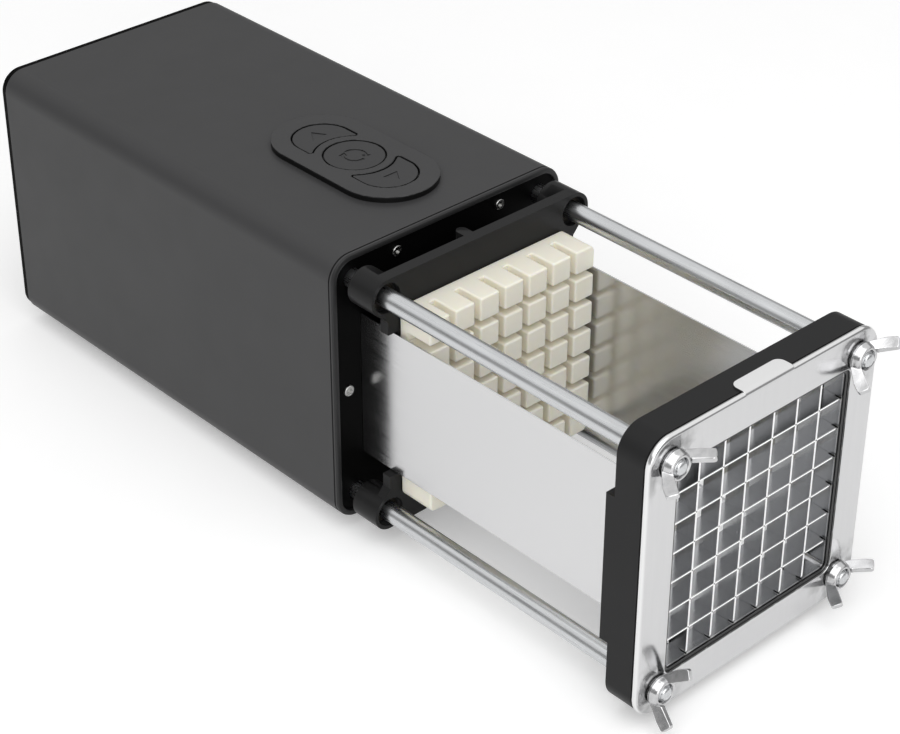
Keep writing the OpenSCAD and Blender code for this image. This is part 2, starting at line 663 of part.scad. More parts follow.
module nut_gear() {
  color("#c2c4c6") place() difference() {
    slab(gear_y, gear_y + gear_w) rotate(motor_a) toothed(gear_n, gear_m);
    bar(nut_r + 0.02, gear_y - 1, gear_y + gear_w + 1);
    for (a = [0:60:300]) bar(3, gear_y - 1, gear_y + gear_w + 1, 19 * cos(a), 19 * sin(a));
  }
}
module ring_bearing(y0) {
  difference() {
    bar(race_r, y0, y0 + race_w);
    bar(nut_r + fit, y0 - 1, y0 + race_w + 1);
    for (y = [y0 - 1, y0 + race_w - 0.7]) difference() {
      bar(race_r - 1.8, y, y + 1.7);
      bar(nut_r + 1.8, y - 1, y + 3);
    }
  }
}
module bearings() color("#d5d7d9") place() {
  ring_bearing(cup_y + 0.2);
  ring_bearing(deck_y + 0.02);
}
module bearing_cup() {
  color("#9c9fa1") place() difference() {
    union() {
      bar(race_r + 3.5, cup_y, cup_y + race_w + 0.3);
      slab(cup_y, cup_y + 3) for (a = [45:90:315])
        translate([22.5 * cos(a), 22.5 * sin(a)]) circle(r = 4.5);
    }
    bar(race_r + 0.03, cup_y - 1, cup_y + race_w + 1);
    for (a = [45:90:315]) bar(1.6, cup_y - 1, cup_y + 10, 22.5 * cos(a), 22.5 * sin(a));
    for (a = [45:90:315]) bar(3, cup_y + 3, cup_y + 10, 22.5 * cos(a), 22.5 * sin(a));
  }
}
module drive_deck() {
  color("#a9abad") place() difference() {
    slab(deck_y, deck_y + deck_t) rrect(deck_x, deck_z, 4);
    bar(race_r + 0.03, deck_y - 1, deck_y + deck_t + 1);
    bar(7, deck_y - 1, deck_y + deck_t + 1, motor_x, motor_z);
    for (p = posts_at) bar(2.05, deck_y - 1, deck_y + deck_t + 1, p[0], p[1]);
    for (a = [0:90:270]) bar(1.6, deck_y - 1, deck_y + deck_t + 1,
      motor_x + 15 * cos(a + motor_a), motor_z + 15 * sin(a + motor_a));
    for (z = [-12, 12]) bar(1.5, deck_y - 1, deck_y + deck_t + 1, rail_x + 8, z);
  }
}
module deck_posts() {
  color("silver") place() for (p = posts_at) difference() {
    bar(4, cup_y, deck_y - 0.02, p[0], p[1]);
    bar(2.05, cup_y - 1, deck_y + 1, p[0], p[1]);
  }
}
module deck_bolts() {
  color("#77797b") place() for (p = posts_at) {
    bar(2, mount_y + 0.5, deck_y + deck_t + 0.5, p[0], p[1]);
    slab(deck_y + deck_t + 0.05, deck_y + deck_t + 3.4) translate([p[0], p[1]]) hexagon(4);
  }
}
module gear_motor() {
  color("#8b8d8f") place() translate([motor_x, 0, motor_z]) difference() {
    union() {
      bar(6.8, motor_y - 3, motor_y + 1);
      bar(motor_d / 2, motor_y, motor_y + head_l);
      bar(motor_d / 2 - 3, motor_y + head_l - 1, motor_y + head_l + motor_l);
      bar(motor_d / 2 - 5, motor_y + head_l + motor_l - 1, motor_y + head_l + motor_l + 3);
      bar(5.5, motor_y + head_l + motor_l, motor_y + head_l + motor_l + 6);
      for (s = [-1, 1]) box(s * 10 - 1.5, s * 10 + 1.5, motor_y + head_l + motor_l + 2.9,
        motor_y + head_l + motor_l + 9, -0.4, 0.4);
    }
    bar(shaft_r + fit, motor_y - 4, motor_y + 20);
    for (a = [0:90:270]) bar(1.55, motor_y - 1, motor_y + 9, 15 * cos(a + motor_a), 15 * sin(a + motor_a));
    for (y = [8, 22]) difference() {
      bar(motor_d / 2 + 1, motor_y + y, motor_y + y + 1);
      bar(motor_d / 2 - 0.6, motor_y + y - 1, motor_y + y + 2);
    }
  }
}
module motor_shaft() {
  color("silver") place() bar(shaft_r, gear_y - 1.5, motor_y + 18, motor_x, motor_z);
}
module motor_pinion() {
  color("#b08d45") place() difference() {
    union() {
      slab(gear_y, gear_y + gear_w) translate([motor_x, motor_z])
        rotate(motor_a + 180 + 180 / pinion_n) toothed(pinion_n, gear_m);
    }
    bar(shaft_r + 0.02, gear_y - 1, gear_y + gear_w + 1, motor_x, motor_z);
  }
}
module striker() {
  color("#3c3c3c") place() difference() {
    union() {
      bar(12, striker_y, striker_y + 6);
      box(8, rail_x - 8, striker_y, striker_y + 6, -4, 4);
    }
    bar(screw_r + 0.03, striker_y - 1, striker_y + 7);
  }
}
switch_y = [striker_y - travel - switch_l, striker_y + 6.4];
module switch_rail() {
  color("#9a9c9a") place() difference() {
    union() {
      box(rail_x + 4, rail_x + 5.5, deck_y + deck_t + 0.1, switch_y[1] + 13, -10, 10);
      box(rail_x + 4, rail_x + 13, deck_y + deck_t + 0.1, deck_y + deck_t + 1.6, -17, 17);
    }
    for (z = [-12, 12]) bar(1.7, deck_y + deck_t - 1, deck_y + deck_t + 3, rail_x + 8, z);
    for (y = switch_y, d = [2, 10]) translate([rail_x, y + d, 5.5]) rotate([0, 90, 0]) cylinder(r = 1.3, h = 9);
  }
}
// Small lever switch. The lever faces the striker.
module limit_switch(y, dir) {
  difference() {
    box(rail_x - 3, rail_x + 3.9, y, y + 12, -8, 8);
    for (d = [2, 10]) translate([rail_x - 4, y + d, 5.5]) rotate([0, 90, 0]) cylinder(r = 1.3, h = 9);
  }
  box(rail_x - 6, rail_x - 2.9, dir > 0 ? y + 11 : y, dir > 0 ? y + 12 : y + 1, -3, 3);
  box(rail_x - 6.4, rail_x - 5.8, dir > 0 ? y + 11 : y + 0, dir > 0 ? y + 12 : y + 1, -3, 3);
}
module limit_switches() color("#2e3f66") place() {
  limit_switch(switch_y[0], 1);
  limit_switch(switch_y[1], -1);
}

// Small screws of the drive, the switches, the tray and the control board.
module machine_screws() {
  color("silver") place() for (s = [-1, 1]) {
    bar(1.45, mount_y + 0.5, cup_y + 1.8, s * 30, -44);
    bar(2.7, cup_y + 1.65, cup_y + 3.4, s * 30, -44);
  }
  color("silver") place() for (a = [45:90:315]) {
    bar(1.45, mount_y + 0.5, cup_y + 3.2, 22.5 * cos(a), 22.5 * sin(a));
    bar(2.7, cup_y + 3.05, cup_y + 5.2, 22.5 * cos(a), 22.5 * sin(a));
  }
  color("silver") place() for (a = [0:90:270]) translate([motor_x + 15 * cos(a + motor_a), 0, motor_z + 15 * sin(a + motor_a)]) {
    bar(1.45, deck_y - 0.5, motor_y + 8);
    bar(2.6, deck_y - 2, deck_y - 0.05);
  }
  color("silver") place() for (z = [-12, 12]) {
    bar(1.45, deck_y + 1, deck_y + deck_t + 1.8, rail_x + 8, z);
    bar(2.6, deck_y + deck_t + 1.65, deck_y + deck_t + 3.3, rail_x + 8, z);
  }
  color("silver") place() for (y = switch_y, d = [2, 10])
    translate([rail_x - 2, y + d, 5.5]) rotate([0, 90, 0]) cylinder(r = 1.2, h = 9);
  color("silver") place() for (p = board_posts) {
    post(1.1, board_z - 0.2, board_z + board_t + 5, p[0], p[1]);
    post(2.1, board_z - 1.5, board_z - 0.1, p[0], p[1]);
  }
}

// ---- power ----
supply_y0 = motor_y + head_l + motor_l + 5.8;
supply_y1 = supply_y0 + 56;
supply_x = 44;
supply_z = tray_z + 6;
supply_posts = [for (i = [-1, 1], y = [supply_y0 + 4, supply_y1 - 4]) [i * (supply_x - 4), y]];
module power_board() {
  color("darkgreen") place() difference() {
    box(-supply_x, supply_x, supply_y0, supply_y1, supply_z, supply_z + 1.6);
    for (p = supply_posts) post(1.6, supply_z - 1, supply_z + 3, p[0], p[1]);
  }
}
module power_posts() {
  color("silver") place() for (p = supply_posts) {
    post(2.6, tray_z + 1.52, supply_z - 0.02, p[0], p[1]);
    post(1.45, supply_z - 0.5, supply_z + 2.6, p[0], p[1]);
    post(2.6, supply_z + 1.65, supply_z + 3.4, p[0], p[1]);
  }
}
module power_parts() {
  color("#57534a") place() {
    box(-34, -6, supply_y0 + 10, supply_y1 - 14, supply_z + 1.62, supply_z + 26);
    for (i = [0:1]) post(8, supply_z + 1.62, supply_z + 26, 8, supply_y0 + 14 + i * 20);
    box(22, 36, supply_y0 + 12, supply_y1 - 20, supply_z + 1.62, supply_z + 14);
    for (i = [0:3]) box(24 + i * 3, 25.4 + i * 3, supply_y0 + 12, supply_y1 - 20, supply_z + 13.9, supply_z + 22);
  }
}
module power_inlet() {
  color("#181818") place() difference() {
    union() {
      slab(rear_y - 22, rear_y) translate([30.5, -35]) rrect(13.7, 10.2, 2);
      slab(rear_y + 0.02, rear_y + inlet_t) translate([30.5, -35]) {
        rrect(15, 11.4, 2.5);
        for (s = [-1, 1]) translate([s * 20, 0]) circle(r = 4.2);
        square([40, 8.4], center = true);
      }
      slab(rear_y - 1, rear_y + 0.5) translate([30.5, -35]) rrect(13.7, 10.2, 2);
    }
    slab(rear_y - 16, rear_y + inlet_t + 1) translate([30.5, -35])
      polygon([[-12, -8], [12, -8], [12, 3.5], [7.5, 8], [-7.5, 8], [-12, 3.5]]);
    for (p = [[-7, -1.5], [7, -1.5], [0, 3]]) box(30.5 + p[0] - 1.1, 30.5 + p[0] + 1.1, rear_y - 30, rear_y,
      -35 + p[1] - 2.1, -35 + p[1] + 2.1);
    for (s = [-1, 1]) bar(1.7, rear_y - 1, rear_y + inlet_t + 1, 30.5 + s * 20, -35);
    for (s = [-1, 1]) cone(1.7, 2.6, rear_y + inlet_t - 0.9, rear_y + inlet_t + e, 30.5 + s * 20, -35);
  }
}
module inlet_pins() {
  color("#c8a85a") place() for (p = [[-7, -1.5], [7, -1.5], [0, 3]])
    box(30.5 + p[0] - 1, 30.5 + p[0] + 1, rear_y - 27, rear_y - 4, -35 + p[1] - 2, -35 + p[1] + 2);
}

blade_box();
blades_upright();
blades_level();
cover_plate();
front_frame();
front_feet();
rod_top_left();
rod_top_right();
rod_bottom_left();
rod_bottom_right();
rod_nuts();
wing_nut_top_left();
wing_nut_top_right();
wing_nut_bottom_right();
wing_nut_bottom_left();
trough_wall_left();
trough_wall_right();
trough_floor();
carriage();
slide_bushes();
push_block();
block_screws();
housing_sleeve();
back_cover();
back_screws();
front_plate();
plate_screws();
mount_plate();
chassis_tray();
housing_feet();
foot_screws();
button_pad();
button_back();
button_forward();
button_stop();
control_board();
tact_switches();
board_parts();
drive_screw();
cross_pin();
drive_nut();
nut_gear();
bearings();
bearing_cup();
drive_deck();
deck_posts();
deck_bolts();
gear_motor();
motor_shaft();
motor_pinion();
striker();
switch_rail();
limit_switches();
machine_screws();
power_board();
power_posts();
power_parts();
power_inlet();
inlet_pins();
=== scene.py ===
import json
import math

import bmesh
import bpy
from mathutils import Matrix, Vector


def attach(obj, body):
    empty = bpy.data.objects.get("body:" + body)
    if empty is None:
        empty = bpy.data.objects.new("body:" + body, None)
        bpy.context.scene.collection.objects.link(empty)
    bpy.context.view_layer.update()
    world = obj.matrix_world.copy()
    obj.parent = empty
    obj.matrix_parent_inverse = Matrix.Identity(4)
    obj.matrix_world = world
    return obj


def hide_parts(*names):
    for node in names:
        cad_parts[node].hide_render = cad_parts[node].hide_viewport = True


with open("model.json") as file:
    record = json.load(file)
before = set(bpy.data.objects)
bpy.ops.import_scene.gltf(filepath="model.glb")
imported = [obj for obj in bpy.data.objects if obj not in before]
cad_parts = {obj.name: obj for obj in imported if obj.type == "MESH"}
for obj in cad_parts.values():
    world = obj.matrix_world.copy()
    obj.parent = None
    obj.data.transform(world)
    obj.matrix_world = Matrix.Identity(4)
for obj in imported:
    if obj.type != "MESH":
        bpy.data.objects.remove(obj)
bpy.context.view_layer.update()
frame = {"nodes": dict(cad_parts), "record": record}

# Everything is drawn in millimetres in the machine's own frame: y runs from the cover plate to the
# back cover, x and z are counted from the middle of the four rods. MACHINE places that in the row frame.
MID_Y = 190.25
AXIS_Z = 66.5
MACHINE = Matrix.Translation((0, -MID_Y / 1000, AXIS_Z / 1000)) @ Matrix.Scale(0.001, 4)

GRID = 45.5                # half width of the cutting square
PITCH = 13
LINES = [-GRID + PITCH * i for i in range(1, 7)]
BLADE_Y = 2.9              # cutting edges
STRIP = 0.8                # thickness of a blade
ROD = 50                   # rod centres, both ways
STUD = 3.5                 # radius of a rod's threaded end

COVER = 61.2               # half width of the cover plate
COVER_R = 11               # its corner radius
FACE_Y = 0.7               # its flat face
WINDOW = 46.5              # half width of its window
ROLL = 1.5                 # radius of its rolled rim

BODY = 61                  # half width of the housing
BODY_R = 10                # its corner radius
BODY_Y = 166               # its front lip
RIM_LINE = BODY_Y + 2.2    # middle of the thin groove behind the lip
REAR_Y = 390.5             # outer face of the back cover

PAD_Y = 223.5              # middle of the button pad
PAD_R, LOBE = 21.5, 20     # radius of its ends, and their distance from the middle
PAD_LOW, PAD_TOP = 61.02, 63.62
KNOB = 12.75               # radius of the middle key
WEB = 4.5                  # strip of the pad between two keys
KEY_LOW, KEY_TOP = 62.25, 63.4
SUNK = 63.05               # floor of the symbols in the keys

TROUGH_Y = 11.8, 169.2     # front and back end of the trough
WALL = 45.6, 46.4          # inner and outer face of its sheets
WALL_HALF = 32.5           # half width of each sheet


def at_y(y):
    """Place along the machine as Object coordinates give it, in metres."""
    return (y - MID_Y) / 1000


def at_z(z):
    """Height as Object coordinates give it, in metres."""
    return (z + AXIS_Z) / 1000


# ---------------------------------------------------------------- finishes

class Wire:
    """An output of a node. Arithmetic on it adds Math nodes."""

    def __init__(self, nodes, socket):
        self.nodes, self.socket = nodes, socket

    def _math(self, operation, first, second):
        return self.nodes.node("ShaderNodeMath", {"operation": operation}, {0: first, 1: second})

    def __add__(self, other):
        return self._math("ADD", self, other)

    def __radd__(self, other):
        return self._math("ADD", other, self)

    def __sub__(self, other):
        return self._math("SUBTRACT", self, other)

    def __rsub__(self, other):
        return self._math("SUBTRACT", other, self)

    def __mul__(self, other):
        return self._math("MULTIPLY", self, other)

    def __rmul__(self, other):
        return self._math("MULTIPLY", other, self)

    def __pow__(self, other):
        return self._math("POWER", self, other)

    def __rpow__(self, other):
        return self._math("POWER", other, self)

    def __abs__(self):
        return self._math("ABSOLUTE", self, 0)


class Nodes:
    """A node tree that grows one node at a time."""

    def __init__(self, tree):
        self.tree = tree

    def node(self, kind, settings=None, inputs=None, out=0):
        made = self.tree.nodes.new(kind)
        for key, value in (settings or {}).items():
            setattr(made, key, value)
        for key, value in (inputs or {}).items():
            self.set(made.inputs[key], value)
        return Wire(self, made.outputs[out])

    def set(self, socket, value):
        if isinstance(value, Wire):
            self.tree.links.new(value.socket, socket)
        else:
            socket.default_value = value

    def rays(self):
        """1 on what the camera sees, also by way of metal and glass, and 0 for light that bounces."""
        return sum(self.node("ShaderNodeLightPath", out=f"Is {ray} Ray")
                   for ray in ("Camera", "Glossy", "Transmission"))


class Finish(Nodes):
    """A material with a Principled shader."""

    def __init__(self, name, colour, roughness, **constants):
        self.material = bpy.data.materials.new(name)
        self.material.use_nodes = True
        super().__init__(self.material.node_tree)
        self.shader = self.tree.nodes["Principled BSDF"]
        self.shader.inputs["Base Color"].default_value = (*colour, 1)
        self.shader.inputs["Roughness"].default_value = roughness
        for socket, value in constants.items():
            self.shader.inputs[socket.replace("_", " ")].default_value = value
        self.place = self.node("ShaderNodeTexCoord", out="Object")

    def feed(self, socket, wire):
        self.set(self.shader.inputs[socket], wire)

    def noise(self, scale, detail=2, stretch=None):
        place = self.place
        if stretch:
            place = self.node("ShaderNodeMapping", None, {"Vector": place, "Scale": stretch})
        return self.node("ShaderNodeTexNoise", None, {"Vector": place, "Scale": scale, "Detail": detail})

    def along(self, axis):
        return self.node("ShaderNodeSeparateXYZ", None, {"Vector": self.place}, out="XYZ".index(axis))

    def span(self, wire, low, high):
        """Runs from 0 to 1, straight, while the wire runs from low to high."""
        return self.node("ShaderNodeMapRange", {"clamp": True},
                         {"Value": wire, "From Min": low, "From Max": high, "To Min": 0, "To Max": 1})

    def mix(self, factor, first, second):
        """Two colours, each written out or on a wire, mixed by a factor from 0 to 1."""
        first, second = (colour if isinstance(colour, Wire) else (*colour, 1)
                         for colour in (first, second))
        return self.node("ShaderNodeMix", {"data_type": "RGBA"},
                         {"Factor": factor, 6: first, 7: second}, out=2)

    def mottled(self, factor, colour, depth):
        """The colour made darker and lighter by the share depth."""
        return self.mix(factor, shade(colour, 1 - depth), shade(colour, 1 + depth))

    def bump(self, height, distance):
        self.feed("Normal", self.node("ShaderNodeBump", None, {"Height": height, "Distance": distance}))


def shade(colour, factor):
    return [c * factor for c in colour]


def moulded(name, colour, roughness, grain=2600, depth=0.000012, mottle=0.12, groove_shade_and_dark_lip=False, **constants):
    """Moulded or powder-coated plastic: fine grain, faint cloudiness and handling marks."""
    finish = Finish(name, colour, roughness, **constants)
    skin_colour = finish.mottled(finish.noise(14, 3), colour, mottle)
    # Painted shade: where asked, the upright walls of the pad, keys and symbols and the thin groove round
    # the housing are mixed to near black, and the housing's lip partway.
    if groove_shade_and_dark_lip:
        skin_colour = finish.mix(groove_shade_and_lip_mask(finish), skin_colour, (0.002, 0.002, 0.002))
    finish.feed("Base Color", skin_colour)
    finish.feed("Roughness", finish.noise(55, 4) * 0.12 + (roughness - 0.06))
    finish.bump(finish.noise(grain, 2), depth)
    return finish.material


def groove_shade_and_lip_mask(finish):
    """Mask of painted shade: 1 on the upright walls in the button pad and in the groove round the housing,
    and 0.6 on its lip, which is drawn darker.
    """
    height, depth = finish.along("Z"), finish.along("Y")
    wall = (finish.span(height, at_z(PAD_TOP - 0.24), at_z(PAD_TOP - 0.3))
            * finish.span(height, at_z(BODY + 0.05), at_z(BODY + 0.25)))
    off_floor = finish.span(abs(height - at_z(SUNK)), 0.00001, 0.00003)
    line = finish.span(abs(depth - at_y(RIM_LINE)), 0.00042, 0.00032)
    lip = finish.span(depth, at_y(BODY_Y + 1.2), at_y(BODY_Y + 1))
    return wall * off_floor + line + lip * 0.6


def metal(name, colour, roughness, brush, scale, depth=0.000006, mottle=0.06):
    """Metal with drawn or ground marks that run along the axis with the small brush number."""
    finish = Finish(name, colour, roughness, Metallic=1.0)
    marks = finish.noise(scale, 3, brush)
    cloud = finish.noise(22, 3)
    finish.feed("Base Color", finish.mottled(marks * 0.6 + cloud * 0.4, colour, mottle))
    finish.feed("Roughness", marks * 0.16 + cloud * 0.08 + (roughness - 0.12))
    finish.bump(marks, depth)
    return finish.material


def pressed_cover():
    """Bright sheet with faint rolling marks, a painted dark reflection and shadow of the wing nuts round
    the four studs, and a painted highlight on its rolled rim.
    """
    plain, painted_nut_reflection, rim = (0.60, 0.60, 0.605), (0.16, 0.16, 0.16), (0.76, 0.76, 0.76)
    finish = Finish("pressed cover steel", plain, 0.16, Metallic=1.0)
    across = abs(finish.along("X")) - ROD / 1000
    above = abs(finish.along("Z") - at_z(0)) - ROD / 1000
    from_stud = (across * across + above * above) ** 0.5
    # Painted reflection and shadow: dark clouds round each stud stand for the wing nut seen in the plate.
    nut_reflection_mask = finish.span(from_stud, 16.5 / 1000, 7 / 1000) * finish.span(finish.noise(130, 3), 0.42, 0.62)
    marks = finish.noise(700, 3, (1, 1, 0.04))
    # Painted highlight: the rolled rim is drawn paler than the flat face.
    rolled = finish.span(finish.along("Y"), at_y(FACE_Y + 0.08), at_y(FACE_Y + 0.6))
    plate = finish.mix(nut_reflection_mask * 0.75, finish.mottled(marks, plain, 0.03), painted_nut_reflection)
    finish.feed("Base Color", finish.mix(rolled, plate, rim))
    finish.feed("Roughness", marks * 0.04 + finish.noise(40, 3) * 0.08 + 0.1)
    finish.bump(marks, 0.0000015)
    return finish.material


def blade_steel_with_painted_light():
    """Grey ground faces, a front edge with a painted highlight, and a painted shadow on the flange behind
    the cover.
    """
    ground, painted_edge_highlight, painted_flange_shadow = (0.46, 0.465, 0.475), (0.93, 0.93, 0.93), (0.07, 0.07, 0.07)
    finish = Finish("ground blade steel", ground, 0.24, Metallic=1.0)
    marks = finish.noise(900, 3, (0.1, 1, 0.1))
    cloud = finish.noise(60, 3)
    depth = finish.along("Y")
    face = finish.mottled(marks * 0.5 + cloud * 0.5, ground, 0.14)
    # Painted highlight: the front edges of the blades are drawn near white.
    edge = finish.span(depth, at_y(BLADE_Y + 0.45), at_y(BLADE_Y + 0.15))
    # Painted shadow: the box flange in the gap behind the cover is drawn near black.
    flange_shadow_mask = finish.span(depth, at_y(BLADE_Y - 0.1), at_y(BLADE_Y - 0.35))
    finish.feed("Base Color", finish.mix(flange_shadow_mask, finish.mix(edge, face, painted_edge_highlight), painted_flange_shadow))
    finish.feed("Roughness", marks * 0.12 + cloud * 0.1 + 0.12)
    finish.bump(marks, 0.000003)
    return finish.material


def circuit(name, colour):
    """Green lacquer over copper tracks."""
    finish = Finish(name, colour, 0.35)
    tracks = finish.node("ShaderNodeTexBrick", {"offset": 0.37},
                         {"Vector": finish.place, "Scale": 120.0, "Mortar Size": 0.03,
                          "Color1": (*shade(colour, 0.9), 1), "Color2": (*colour, 1),
                          "Mortar": (*shade(colour, 1.7), 1)})
    finish.feed("Base Color", tracks)
    finish.bump(finish.noise(900), 0.00002)
    return finish.material


FINISHES = {
    # The housing and the buttons get painted shade on their groove walls; the housing also gets a darker
    # lip.
    "housing_plastic": moulded("housing satin black", (0.044, 0.044, 0.045), 0.46, 3200, 0.00001, 0.06,
                               groove_shade_and_dark_lip=True, Specular_IOR_Level=0.25),
    "button_plastic": moulded("button rubber black", (0.042, 0.042, 0.043), 0.5, 2800,
                              groove_shade_and_dark_lip=True, Specular_IOR_Level=0.25),
    "cover_black": moulded("inset plate black", (0.002, 0.002, 0.002), 0.5, Specular_IOR_Level=0.03),
    "frame_plastic": moulded("frame black", (0.018, 0.018, 0.0184), 0.42, 2400,
                             Specular_IOR_Level=0.12),
    "carriage_plastic": moulded("carriage black", (0.015, 0.015, 0.0152), 0.34, 2400,
                                Specular_IOR_Level=0.12),
    "ivory_plastic": moulded("ivory plastic", (0.95, 0.905, 0.785), 0.4, 900, 0.00001, 0.02,
                             Subsurface_Weight=0.3, Subsurface_Scale=0.004,
                             Subsurface_Radius=(1.0, 0.75, 0.35)),
    "rubber": moulded("moulded rubber", (0.020, 0.020, 0.020), 0.7, 1600, 0.00003),
    "part_black": moulded("small black plastic", (0.020, 0.020, 0.020), 0.45),
    "part_blue": moulded("switch blue", (0.03, 0.07, 0.19), 0.4),
    "part_tan": moulded("potted parts", (0.22, 0.19, 0.13), 0.55),
    "board_green": circuit("circuit board", (0.015, 0.11, 0.045)),
    "cover_steel": pressed_cover(),
    "blade_steel": blade_steel_with_painted_light(),
    "trough_steel": metal("polished trough steel", (0.64, 0.64, 0.645), 0.22, (1, 0.04, 1), 600,
                          0.000002, 0.03),
    "rod_steel": metal("drawn rod steel", (0.58, 0.59, 0.60), 0.28, (1, 0.05, 1), 900, 0.00001, 0.2),
    "wing_chrome": metal("nickel plate", (0.54, 0.54, 0.545), 0.19, (1, 1, 1), 300, 0.00005, 0.45),
    # Painted shade: the bushes are drawn near black, far darker than bronze, for the shaded recess in each
    # boss.
    "bush_bronze": metal("sintered bronze in painted shade", (0.034, 0.031, 0.026), 0.5, (1, 0.2, 1), 800),
    "gear_steel": metal("machined steel", (0.52, 0.53, 0.54), 0.3, (1, 0.2, 1), 800),
    "screw_steel": metal("zinc plate", (0.42, 0.42, 0.41), 0.28, (1, 1, 1), 500),
    "plate_steel": metal("rolled plate", (0.46, 0.47, 0.48), 0.4, (0.05, 1, 1), 500),
    "tray_steel": metal("galvanised sheet", (0.50, 0.51, 0.50), 0.42, (1, 1, 1), 120, 0.00001, 0.16),
    "deck_aluminium": metal("machined aluminium", (0.68, 0.69, 0.70), 0.34, (0.08, 1, 1), 600),
    "motor_can": metal("motor can", (0.38, 0.39, 0.40), 0.38, (1, 1, 0.1), 500),
}
SLOT = {part["node"]: part["material_slot"] for part in frame["record"]["subparts"]}
for node, solid in frame["nodes"].items():
    for holder in solid.material_slots:
        holder.material = FINISHES[SLOT[node]]
    if not solid.material_slots:
        solid.data.materials.append(FINISHES[SLOT[node]])


# ---------------------------------------------------------------- shaping

def stand(name, data):
    """Puts a mesh, lamp or camera into the scene as an object."""
    made = bpy.data.objects.new(name, data)
    bpy.context.scene.collection.objects.link(made)
    return made


def meshed(name, bm):
    mesh = bpy.data.meshes.new(name)
    bm.to_mesh(mesh)
    bm.free()
    return mesh


def piece(name, bm, body, node, smooth=40):
    """Turns a mesh drawn in millimetres into a finished piece that stands for the node."""
    bmesh.ops.transform(bm, matrix=MACHINE, verts=bm.verts)
    mesh = meshed(name, bm)
    mesh.shade_smooth()
    mesh.set_sharp_from_angle(angle=math.radians(smooth))
    mesh.materials.append(FINISHES[SLOT[node]])
    made = stand(name, mesh)
    made.modifiers.new("flat faces", "WEIGHTED_NORMAL").keep_sharp = True
    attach(made, body)
    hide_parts(node)


def from_cad(node):
    """The node's own shape with its triangles merged into whole faces, in millimetres."""
    bm = bmesh.new()
    bm.from_mesh(frame["nodes"][node].data)
    bmesh.ops.transform(bm, matrix=MACHINE.inverted(), verts=bm.verts)
    bmesh.ops.remove_doubles(bm, verts=bm.verts, dist=0.002)
    bmesh.ops.dissolve_limit(bm, angle_limit=math.radians(0.3), verts=bm.verts, edges=bm.edges)
    return bm


def outward(bm):
    bmesh.ops.recalc_face_normals(bm, faces=bm.faces)


def bevel(bm, edges, width, segments=2):
    bmesh.ops.bevel(bm, geom=edges, offset=width, offset_type="OFFSET", segments=segments,
                    profile=0.5, affect="EDGES", clamp_overlap=True, material=-1)


def sharp(bm, where=lambda a, b: True, angle=35):
    """Edges with a corner across them whose two ends pass the test."""
    return [edge for edge in bm.edges
            if len(edge.link_faces) == 2 and edge.calc_face_angle(0) > math.radians(angle)
            and where(edge.verts[0].co, edge.verts[1].co)]


def verts_of(geometry):
    return [item for item in geometry if isinstance(item, bmesh.types.BMVert)]


def faces_of(geometry):
    return [item for item in geometry if isinstance(item, bmesh.types.BMFace)]


def loop(bm, points):
    """A closed line of edges through the points."""
    verts = [bm.verts.new(point) for point in points]
    return [bm.edges.new(pair) for pair in zip(verts, verts[1:] + verts[:1])]


def drawn_out(bm, faces, by):
    """Pulls faces out into a solid, and gives what the pull added."""
    grown = bmesh.ops.extrude_face_region(bm, geom=faces)["geom"]
    bmesh.ops.translate(bm, verts=verts_of(grown), vec=by)
    return grown


def turned(bm, profile, x=0, z=0, sides=64, closed=False):
    """A profile of (radius, y) points turned round a line along y."""
    before = set(bm.verts)
    points = [bm.verts.new((radius, y, 0)) for radius, y in profile]
    ends = points[1:] + points[:1] if closed else points[1:]
    edges = [bm.edges.new(pair) for pair in zip(points, ends)]
    bmesh.ops.spin(bm, geom=points + edges, cent=(0, 0, 0), axis=(0, 1, 0), dvec=(0, 0, 0),
                   angle=2 * math.pi, steps=sides, use_merge=True, use_duplicate=False)
    bmesh.ops.remove_doubles(bm, verts=[vert for vert in bm.verts if vert not in before], dist=0.0005)
    bmesh.ops.translate(bm, verts=[vert for vert in bm.verts if vert not in before], vec=(x, 0, z))


def ring(bm, half, radius, y, segments):
    """An edge loop of a rounded square that stands across the push direction."""
    sketch = bmesh.new()
    corners = [sketch.verts.new((i * half, 0, k * half)) for i, k in ((1, 1), (-1, 1), (-1, -1), (1, -1))]
    sketch.faces.new(corners)
    bmesh.ops.bevel(sketch, geom=corners, offset=radius, segments=segments, profile=0.5,
                    affect="VERTICES", material=-1)
    sketch.faces.ensure_lookup_table()
    points = [(vert.co.x, y, vert.co.z) for vert in sketch.faces[0].verts]
    sketch.free()
    return loop(bm, points)


def skin(bm, rings):
    """Bridges each ring to the next, and the last one back to the first."""
    for first, second in zip(rings, rings[1:] + rings[:1]):
        bmesh.ops.bridge_loops(bm, edges=first + second)


def arc(x, y, radius, start, end, steps=40):
    """Points along an arc in plan, angles in degrees."""
    angles = [math.radians(start + (end - start) * i / steps) for i in range(steps + 1)]
    return [(x + radius * math.cos(a), y + radius * math.sin(a)) for a in angles]


def moulded_slab(bm, outlines, low, high, rounding):
    """An upright slab with rounded top edges: the first outline bounds it, the others are holes."""
    edges = [edge for outline in outlines for edge in loop(bm, [(x, y, low) for x, y in outline])]
    filled = bmesh.ops.triangle_fill(bm, use_beauty=True, use_dissolve=False, edges=edges)["geom"]
    top = faces_of(drawn_out(bm, faces_of(filled), (0, 0, high - low)))
    outward(bm)
    for drop in (1.2, 0.4):
        rim = {vert for face in top for vert in face.verts}
        bmesh.ops.inset_region(bm, faces=top, thickness=rounding, depth=0, use_boundary=True,
                               use_even_offset=True)
        inner = {vert for face in top for vert in face.verts}
        bmesh.ops.translate(bm, verts=list(rim - inner), vec=(0, 0, -drop * rounding))


# ---------------------------------------------------------------- housing

